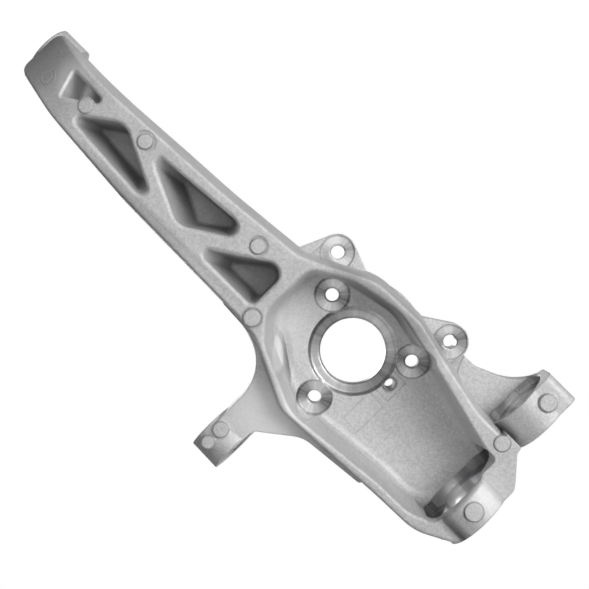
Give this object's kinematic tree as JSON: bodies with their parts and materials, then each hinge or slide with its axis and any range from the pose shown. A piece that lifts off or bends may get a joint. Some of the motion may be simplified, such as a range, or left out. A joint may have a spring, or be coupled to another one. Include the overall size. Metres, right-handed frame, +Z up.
{
  "type": "steering knuckle",
  "caption": "Cast steering knuckle: dished hub body with ball joint sockets, truss-pocketed goose-neck upper arm, tie rod eye and caliper ears.",
  "frame": {"origin": "centre of the hub bore on the outboard bearing seat", "axes": "+Y outboard along the hub bore towards the wheel, +Z up along the goose-neck arm, +X towards the caliper ears"},
  "size_m": [0.2908, 0.1298, 0.622],
  "materials": {
    "casting": "as-cast satin with machined seats"
  },
  "bodies": {
    "root": {"knuckle": "casting"}
  },
  "joints": []
}
